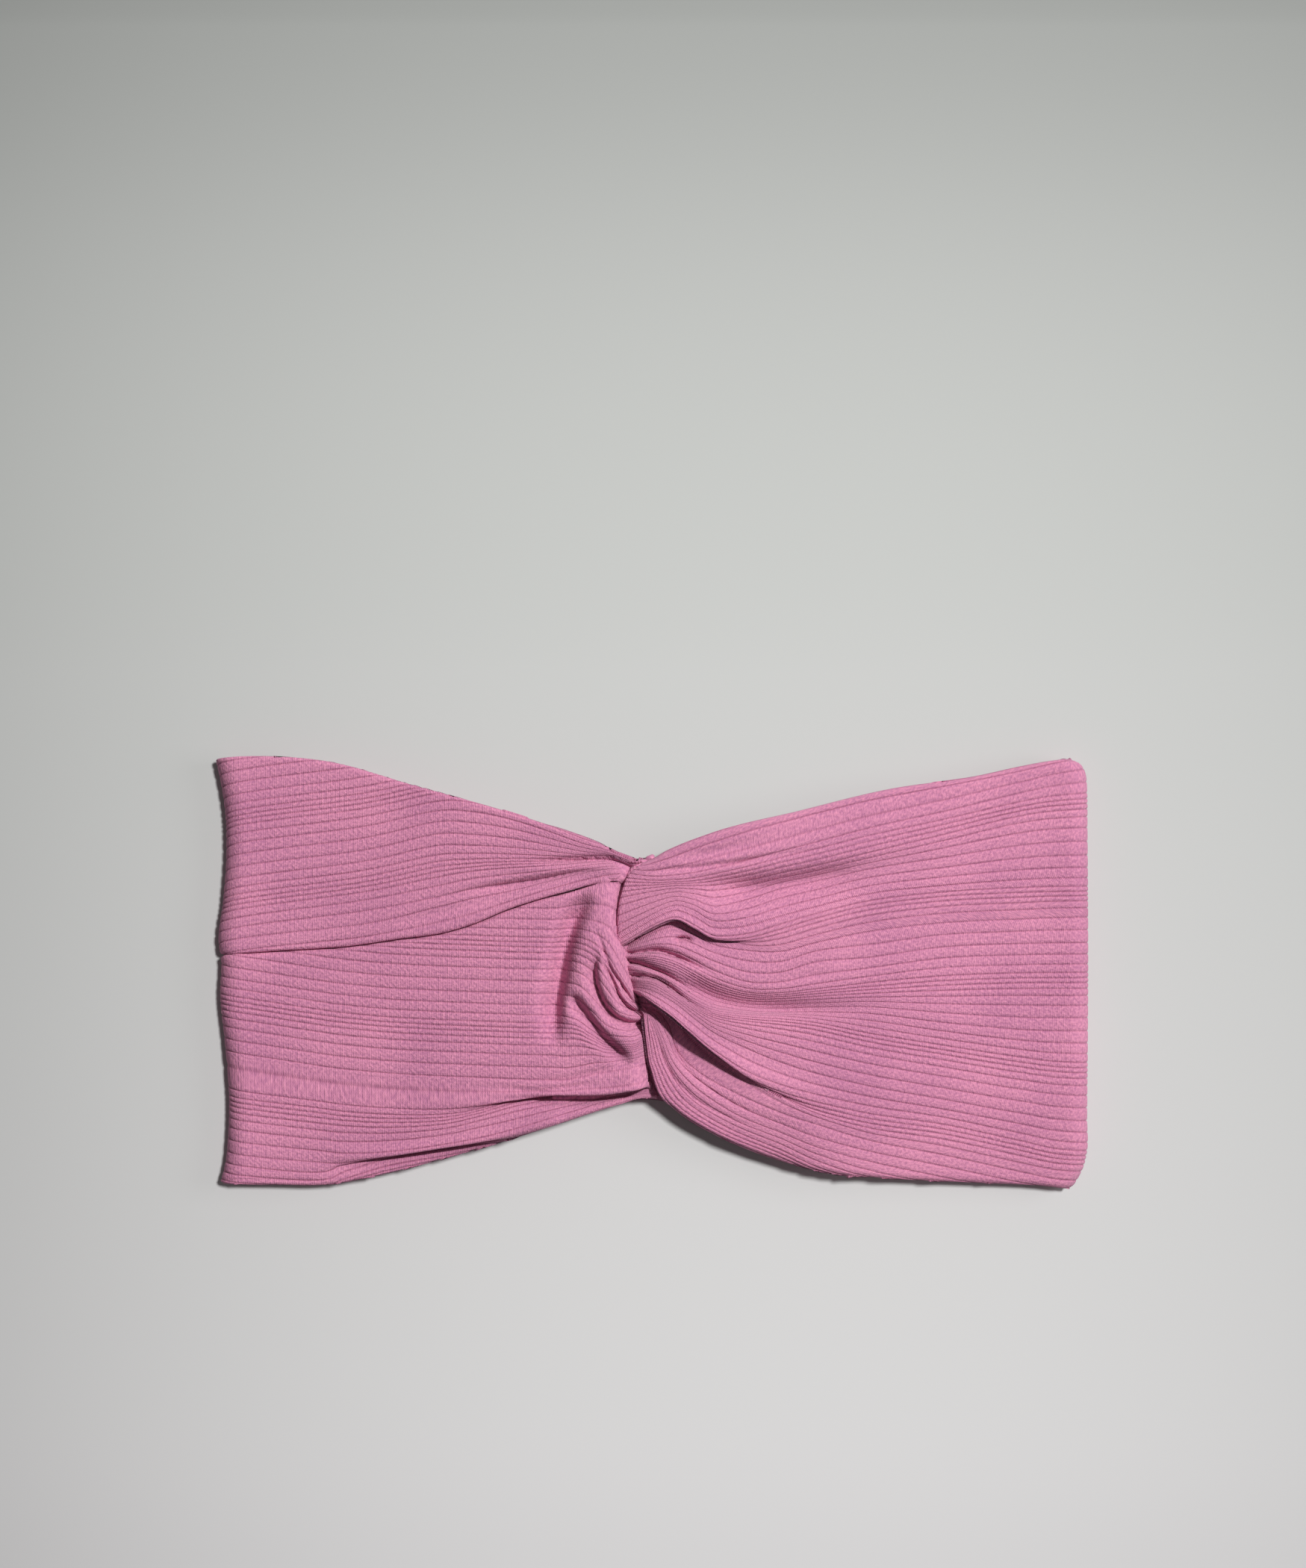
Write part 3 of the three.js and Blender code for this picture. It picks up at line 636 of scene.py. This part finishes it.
RIGHT_WRAP = [
    fan_rib(0, (-0.4, 35.4, 2), (36, 39, 41.5, 44, 46.8, 49, 51.4, 55, 58.6, 62.6, 66, 70), over=True),
    fan_rib(5, (-1.7, 31, 1.2), (32, 34.8, 36.8, 39, 41.8, 44, 46.4, 50, 53.6, 57.6, 61.2, 65),
            over=True),
    fan_rib(9, (-4.2, 29.1, 0.5), (29.8, 31.6, 33.4, 35.4, 38.2, 40.6, 43.2, 46.8, 50.6, 54.6, 57.8, 61),
            over=True),
    fan_rib(13, (-5.7, 27.8, 0.5), (27.2, 27.8, 28.6, 30, 32.2, 34.6, 37.2, 41.2, 45.6, 50.4, 53.4, 55.4),
            over=True),
    fan_rib(16.5, (-7.1, 26, 0.5), (25.4, 25.6, 26, 27.1, 29.2, 31.6, 34, 37.7, 42, 46.6, 48.8, 50),
            over=True),
    fan_rib(21, (-8.4, 22, 0.5), (23.2, 23.8, 23.8, 23.8, 25, 27, 29.1, 32.8, 37.6, 42.4, 44.2, 45),
            over=True),
    fan_rib(28.5, (-9.4, 15.8, 0.6), (19.4, 21, 20.2, 18.4, 20.2, 23, 25.1, 28.5, 31.6, 34.7, 35.8, 36),
            over=True),
    fan_rib(36.4, (-9.4, 10, 1.2), (15.6, 18, 16.6, 13.4, 14.2, 16.8, 19.3, 22.8, 25, 26.6, 27.2, 27.2),
            over=True),
    # The arch of the first crease hangs over the folds below it.
    fan_rib(42.5, (-9, 7, 2.5), (12.6, 14.8, 12.5, 9.4, 9, 10.9, 13.9, 17.4, 19.7, 20.6, 21, 21), (0.4,)),
    fan_rib(43.6, (-8.9, 6.9, 4), (13, 15.4, 13.2, 9.9, 8.6, 9.9, 12.8, 16.3, 18.6, 19.5, 20, 20),
            (1.8, 1.4, 1.4, 1, 0.5)),
    fan_rib(45.4, (-8.8, 6.8, 5), (14, 17.2, 15, 10.8, 8, 8.3, 11.1, 14.5, 16.8, 17.7, 18.2, 18.2),
            (3.4, 3, 2.8, 2, 0.6)),
    fan_rib(48, (-8.7, 6.5, 5), (11.6, 13.4, 11.4, 8.2, 6.6, 6.4, 8.9, 12, 14.2, 15.1, 15.6, 15.6),
            (2.8, 2.6, 2.3, 1.4, 0.4)),
    fan_rib(54, (-8.6, 6, 3), (8.4, 8.6, 6.8, 4.2, 1.4, 1.4, 4.4, 5.6, 8.3, 9.1, 9.4, 9.4),
            (0.8, 0.8, 0.6, 0.2)),
    fan_rib(60, (-8.2, 5.3, 2), (6.1, 5, 2.6, -0.6, -3.5, -3.6, -2, 0, 2.4, 3.1, 3.3, 3.3)),
    fan_rib(67, (-7.4, 4, 2), (3.2, 1.4, -1.4, -4.5, -6.8, -6.9, -6.2, -5.3, -4.5, -4, -4, -4)),
    fan_rib(78, (-6.2, 2, 2),
            (0.6, -2.4, -5.6, -8.4, -10.1, -10.5, -10.4, -10.8, -13.2, -15, -15.4, -15.4)),
    fan_rib(87.5, (-5, -1.1, 2),
            (-1.3, -4.9, -8.3, -10.9, -12.2, -12.9, -14.2, -17.4, -20.8, -24, -25.6, -25.8)),
    fan_rib(95, (-4.6, -2.6, 2.4),
            (-3, -6.4, -10.1, -13.8, -16.6, -18.8, -21.2, -24.7, -28.2, -31.6, -33.4, -33.6)),
    fan_rib(103, (-4.4, -4, 2.6),
            (-5, -8.4, -12.4, -16.8, -21.4, -25.2, -28.4, -32, -35.7, -39.4, -41.6, -42)),
    # The flap's lower fold hangs over the leg that comes out from under it.
    leg_rib(111, [(-7, -5, 7), (-3.7, -5.9, 2.8), (0, -8.1, 0.8), (5.2, -11.4), (9.6, -15.3),
                  (16.4, -21.2), (26, -28.6)], (-33, -36.2, -39.6, -42.6, -47, -49.8, -50)),
    leg_rib(112.2, [(-7, -5.4, 8), (-3.6, -6.2, 4), (0.3, -7.9, 2.4), (5.8, -10.9, 1.8),
                    (10.2, -14.8, 1.8), (17, -20.6, 1.8), (26.4, -28.4, 1.6)],
            (-33.5, -37.2, -40.8, -43.8, -48.2, -51, -51.2), (1, 0.3)),
    leg_rib(114.5, [(-7, -6, 8), (-3.4, -6.8, 6), (1.2, -7.6, 4.6), (7.4, -10, 4.2), (12.4, -13.8, 3.6),
                    (19, -19.6, 2.8), (27.6, -27.6, 1.2)], (-33.6, -38.6, -42.8, -46, -50.4, -53, -53.2),
            (0.4, 0)),
    leg_rib(117, [(-7, -6.6, 8), (-3.2, -8.6, 6), (1.4, -9.6, 4.6), (5.4, -13, 4.6), (8, -19, 4.4),
                  (14.6, -25.2, 3.2), (25, -31.4, 1.4)], (-36.4, -40, -44.6, -48.4, -52.9, -55.4, -55.6),
            (0.4, 0)),
    leg_rib(123, [(-7, -7, 8), (-3.1, -9.6, 5.5), (0.4, -11.6, 3.6), (3.6, -17.5, 2.8), (6.6, -24, 2.4),
                  (13.4, -30.6, 1.8), (24, -37.4, 1)], (-42, -45.8, -49.8, -54, -58.4, -61.2, -61.4),
            (0.6,)),
    leg_rib(132, [(-7, -7.4, 8), (-3, -10.2, 5), (-0.9, -12, 3), (1.2, -18, 2), (3.6, -25.6, 1.4),
                  (9.6, -34.2, 0.8), (20.8, -41.4, 0.4)], (-47.4, -52, -57, -62, -67, -70, -70.4)),
    leg_rib(141, [(-7, -7.6, 8), (-3, -10.6, 5), (-2.2, -13, 3), (-1.5, -19, 1.9), (-0.3, -26, 1.3),
                  (3.4, -35.2, 0.6), (15, -44.4)], (-55.6, -60, -65, -70.6, -76, -79, -79.4)),
    leg_rib(144, [(-7, -7.6, 9), (-2.9, -10.6, 7), (-0.8, -13, 5.4), (0.6, -19, 4.8), (2.2, -26, 4.6),
                  (5.6, -33.6, 4.4), (14, -43, 3.6)], (-60, -64, -68, -73.6, -79, -82, -82.4)),
]


def right_wrap_relief(x, y):
    """Creases that fan out of the knot over the right wrap."""
    above_hem = np.maximum(y - bottom_edge(x), 0)    # near the knot the cloth slopes down to its hem
    return (4.2 * np.exp(-above_hem / 9) * smooth((56 - x) / 30)
            # The broad hollow of the upper part, and two thin folds above it.
            + crease(x, y, [(6, 24.8), (18, 23.4), (30, 23.6), (40, 25), (50, 27), (60, 29.4), (84, 35)],
                     5.2, (3.2, 5.0), 0.05, ends=(0.3, 0.5))
            + crease(x, y, [(-4, 27.4), (8, 28.6), (20, 30), (34, 32.4), (50, 35)], 1.6, (0.7, 1.0), 0.4,
                     ends=(0.3, 0.5))
            + crease(x, y, [(2, 30.6), (14, 32.6), (26, 35.4), (40, 39.4)], 1.1, (1.4, 1.4), 0.2,
                     ends=(0.4, 0.5))
            # Folds that fan out below the arch.
            + crease(x, y, [(-9.5, 5.2), (-4.6, 5.6), (0.3, 6.2), (3, 5.8), (6.3, 4.6), (10.1, 2.9),
                            (14.5, 0.8), (19.5, -1.8)], 3.8, (1.3, 0.6), 0.45, ends=(0.02, 0.45))
            + crease(x, y, [(-8, 3), (-4, 2.5), (0.3, 1), (3.6, -0.3), (7.4, -2.5), (12.5, -5)],
                     4.0, (1.4, 0.6), 0.45, ends=(0.02, 0.5))
            + crease(x, y, [(4, -0.6), (12, -4.8), (20, -8.2), (30, -9.6), (40, -10), (52, -9.8),
                            (66, -7.8)], 4.0, (3.2, 1.8), ends=(0.2, 0.5))
            + crease(x, y, [(-6.5, -0.7), (-0.2, -1.1), (3, -2.5), (6.3, -5), (9, -6.9), (13, -9.3),
                            (20, -11.6)], 2.8, (1.1, 0.6), 0.45, ends=(0.02, 0.55))
            # The small fold inside the arch.
            + crease(x, y, [(5.2, 8.8), (8, 9.7), (11.4, 8.9)], 2.8, (0.5, 1.0), 0.4, ends=(0.35, 0.35))
            # Two folds along the leg.
            + crease(x, y, [(2.6, -13), (5, -19.6), (8.8, -25.6), (15, -31.4), (25, -37), (38, -41.6)],
                     1.0, (0.6, 0.6), 0.5, ends=(0.3, 0.5))
            + crease(x, y, [(0.6, -15), (2.6, -22), (6.2, -29), (13, -35.4), (23, -40.4), (38, -45)], 1.0,
                     (0.6, 0.6), 0.5, ends=(0.3, 0.5))
            # Faint waves further out.
            + crease(x, y, [(28, -3), (40, -0.8), (50, 0)], 0.3, (1.5, 1.5), ends=(0.3, 0.3))
            + crease(x, y, [(52, -5), (62, -3), (74, -1)], 0.3, (1.5, 1.5), ends=(0.3, 0.3))
            # The cloth stands up beside the knot, above the leg and above the arch.
            - mound(x, y, (2, 1), (12, 15), 1.6)
            - mound(x, y, (14, -14), (16, 6), 1.0)
            - mound(x, y, (14, 16), (15, 5), 0.8))


RIGHT_STEPS = [4, 10, 14, 12, 14, 18, 16, 14, 16, 20, 20, 16, 20]

right = knit_layer("right_wrap_panel", RIGHT_WRAP, RIGHT_STEPS, 1, FACE, right_wrap_relief,
                   low=bottom_edge, high=top_edge, start=6.9)
dress(right, "right_wrap_face")

# --- linings, back panel, seams and tack -----------------------------------------------------------


def wrap_lining(name, side):
    """Plain lining of a wrap, between its turned-in edges and around the folded end."""
    width = 100.0
    bottom_guide, middle_guide, top_guide = [], [], []
    depths = {LINING_INNER_X: 7.0, 60: 6.0, 90: 4.4, 114: 3.8, 128: 3.8, LAID_END: 3.8}
    for x, depth in depths.items():
        level_x = side * min(x, 114)
        low = float(bottom_edge(level_x)) + HEM_INSET
        high = float(top_edge(level_x)) - HEM_INSET
        bottom_guide.append((side * x, low, depth))
        middle_guide.append((side * x, low + (high - low) / 2, depth))
        top_guide.append((side * x, high, depth))
    guides = [(0, bottom_guide), (width / 2, middle_guide), (width, top_guide)]
    piece = knit_layer(name, guides, [12, 12, 12, 12, 16], side, LINING, ribbed=False,
                       thickness=LINING_PLY)
    dress(piece, f"{'left' if side < 0 else 'right'}_wrap_lining")
    return piece


# Edges of the back panel, which stay just inside the front's outline.
back_top = curve([(-103, 57), (-89, 55.6), (-60, 45.6), (-30, 35.5), (0, 28.5), (30, 37.5), (60, 46),
                  (103, 54.6)])
back_bottom = curve([(-103, -57.6), (-89, -57.4), (-64, -52.4), (-40, -44), (-15, -36.8), (0, -35.2),
                     (15, -39), (40, -50), (60, -53.5), (103, -56)])


def back_panel(name, ribbed):
    """Back of the band, flat on the floor: a ribbed face turned in at its edges, or its lining."""
    width = 114.0
    rows, grooves = rib_rows(width, 3.0)
    if not ribbed:
        rows = np.linspace(0, width, 40)
    x = np.linspace(-BACK_END_X, BACK_END_X, 150)[None, :] * np.ones((len(rows), 1))
    share = rows[:, None] / width
    hem = 7.0 if ribbed else -HEM_INSET
    low, high = back_bottom(x) - hem, back_top(x) + hem
    y = high + (low - high) * share
    z = np.full_like(x, 0.0)
    groove = np.zeros_like(x)
    if ribbed:
        groove_row, pillow = rib_relief(rows, grooves)
        groove = groove_row[:, None] * np.ones_like(x)
        z = GROOVE_DEPTH * groove + RIB_PILLOW * (1 - pillow[:, None])
        y, z = roll_edges(y, z, back_bottom(x), back_top(x), 1.35)
    else:
        z = z + BACK_LINING_Z
    material = FACE if ribbed else LINING
    thickness = PLY if ribbed else LINING_PLY
    v = rows[:, None] * np.ones_like(x)
    piece = knit_sheet(name, x, y, z, x + BACK_END_X, v, groove, material, thickness, upward=False)
    dress(piece, f"back_panel_{'face' if ribbed else 'lining'}")
    return piece


left_lining = wrap_lining("left_lining", -1)
right_lining = wrap_lining("right_lining", 1)
back_face = back_panel("back_knit", True)
back_lining = back_panel("back_lining", False)


def side_seam(name, side):
    """Flatlock seam between a wrap's end and the back panel: rows of thread over a narrow band."""
    half_width, stitch_pitch, depth = 2.3, 0.95, 2.1
    seam_x = (SEAM_X + BACK_END_X) / 2
    across = np.linspace(-half_width, half_width, 13)
    low, high = max(back_bottom(side * BACK_END_X), -57.6), back_top(side * BACK_END_X)
    along = np.arange(low, high, 0.16)
    offset, y = np.meshgrid(across, along)
    lean = offset * 0.35
    stitch = np.abs(np.sin(math.pi * (y + lean) / stitch_pitch))
    bead = np.exp(-((np.abs(offset) - 1.9) / 0.3) ** 2)
    z = 0.45 - 0.3 * stitch - 0.12 * bead
    x = side * (seam_x + offset)
    piece = knit_sheet(name, x, y, z, offset, y, 1 - stitch, THREAD, depth, upward=False)
    dress(piece, f"{'left' if side < 0 else 'right'}_side_seam")


def tack_stitch():
    """Bar of thread that holds the end of the tucked wrap inside the knot."""
    turns, length, thread_radius = 6, 8.8, 0.3
    angle = np.linspace(0, 2 * math.pi * turns, turns * 20)
    x = -25.1 + 0.55 * np.cos(angle)
    y = -11.4 + length * angle / angle[-1]
    z = 6.35 + 1.45 * np.sin(angle)
    path = bpy.data.curves.new("knot_tack_stitch", "CURVE")
    path.dimensions = "3D"
    path.bevel_depth = thread_radius * MM
    path.bevel_resolution = 2
    line = path.splines.new("POLY")
    line.points.add(len(x) - 1)
    for point, place in zip(line.points, np.stack([x, y, z], axis=1)):
        point.co = (*(place * MM), 1)
    path.use_fill_caps = True
    path.materials.append(THREAD)
    piece = bpy.data.objects.new("knot_tack_thread", path)
    bpy.context.scene.collection.objects.link(piece)
    dress(piece, "knot_tack_stitch")


side_seam("left_seam_stitches", -1)
side_seam("right_seam_stitches", 1)
tack_stitch()

# --- floor, light and camera ----------------------------------------------------------------------


def floor_material():
    """Matt paper with painted light falloff: darker towards the far end and the sides, as under a studio
    light.
    """
    mat = bpy.data.materials.new("floor_paper")
    mat.use_nodes = True
    nodes, links = mat.node_tree.nodes, mat.node_tree.links
    math_node = math_nodes(mat.node_tree)
    shader = nodes["Principled BSDF"]
    shader.inputs["Roughness"].default_value = 0.95
    shader.inputs["Specular IOR Level"].default_value = 0.1
    place = nodes.new("ShaderNodeTexCoord")
    split = nodes.new("ShaderNodeSeparateXYZ")
    links.new(place.outputs["Object"], split.inputs[0])
    far = nodes.new("ShaderNodeMapRange")
    far.inputs["From Min"].default_value = -0.165
    far.inputs["From Max"].default_value = 0.27
    links.new(split.outputs["Y"], far.inputs["Value"])
    ramp = nodes.new("ShaderNodeValToRGB")
    stops = ramp.color_ramp.elements
    # Painted light falloff from near to far: place, tone, and how green the tone is.
    painted_falloff_tones = [(0.0, 0.60, 0.985), (0.1, 0.65, 0.985), (0.57, 0.56, 1.015), (0.7, 0.545, 1.02),
             (0.84, 0.49, 1.02), (0.98, 0.365, 1.025), (1.0, 0.35, 1.025)]
    while len(stops) < len(painted_falloff_tones):
        stops.new(0.5)
    for stop, (at, tone, green) in zip(stops, painted_falloff_tones):
        stop.position = at
        stop.color = (tone, tone * green, tone * 0.985, 1)
    ramp.color_ramp.interpolation = "B_SPLINE"
    links.new(far.outputs[0], ramp.inputs["Fac"])
    # Painted light falloff towards the sides.
    off_centre = math_node("ADD", split.outputs["X"], -0.04)
    shade = math_node("MULTIPLY_ADD", math_node("POWER", off_centre, 2), -5.0, 1)
    shade = math_node("MAXIMUM", shade, 0.72)
    blend = nodes.new("ShaderNodeMix")
    blend.data_type = "RGBA"
    blend.blend_type = "MULTIPLY"
    blend.inputs["Factor"].default_value = 1
    links.new(ramp.outputs["Color"], blend.inputs["A"])
    links.new(shade, blend.inputs["B"])
    links.new(blend.outputs["Result"], shader.inputs["Base Color"])
    return mat


def add_camera():
    """Looks straight down from above the band's far side."""
    data = bpy.data.cameras.new("camera")
    data.sensor_fit = "VERTICAL"
    data.sensor_height = SENSOR_HEIGHT
    data.lens = SENSOR_HEIGHT * (CAMERA_HEIGHT - END_HEIGHT) / FRAME_HEIGHT
    camera = bpy.data.objects.new("camera", data)
    camera.location = (0, FRAME_CENTRE_Y * MM, CAMERA_HEIGHT * MM)
    bpy.context.scene.collection.objects.link(camera)
    bpy.context.scene.camera = camera


def lamp(name, kind, aim, power, receivers):
    """A lamp that shines from the direction aim and lights only the receivers."""
    data = bpy.data.lights.new(name, kind)
    data.energy = power
    light = bpy.data.objects.new(name, data)
    light.rotation_euler = Vector(aim).to_track_quat("Z", "Y").to_euler()
    bpy.context.scene.collection.objects.link(light)
    lit = bpy.data.collections.new(name + "_receivers")
    for receiver in receivers:
        lit.objects.link(receiver)
    light.light_linking.receiver_collection = lit
    return light


def sun(name, aim, power, spread, receivers):
    """A distant lamp; spread is how wide it looks from the band, in degrees."""
    light = lamp(name, "SUN", aim, power, receivers)
    light.data.angle = math.radians(spread)


def softbox(name, place, power, size, receivers):
    """A round area lamp at place, in metres, that faces the middle of the band."""
    light = lamp(name, "AREA", place, power, receivers)
    light.data.shape = "DISK"
    light.data.size = size
    light.location = place


bpy.ops.mesh.primitive_plane_add(size=FLOOR_SIZE)
floor = bpy.context.object
floor.name = "floor"
floor.data.materials.append(floor_material())
add_camera()

# The cloth is lit from the upper right; the floor has its own steeper lamp for a narrow shadow.
cloth = [o for o in bpy.data.objects if o.type in {"MESH", "CURVE"} and o is not floor]
sun("cloth_key", (0.46, 0.38, 0.85), 3.05, 5, cloth)
softbox("cloth_fill", (0.18, 0.3, 0.36), 0.75, 0.3, cloth)
sun("floor_key", (0.26, 0.17, 1.0), 2.92, 6, [floor])
softbox("floor_fill", (0.7, 0.1, 0.6), 1.2, 0.5, [floor])

world = bpy.data.worlds.new("studio")
world.use_nodes = True
world.node_tree.nodes["Background"].inputs["Color"].default_value = (1, 1, 1, 1)
world.node_tree.nodes["Background"].inputs["Strength"].default_value = 0.11
bpy.context.scene.world = world
bpy.context.scene.view_settings.view_transform = "Standard"
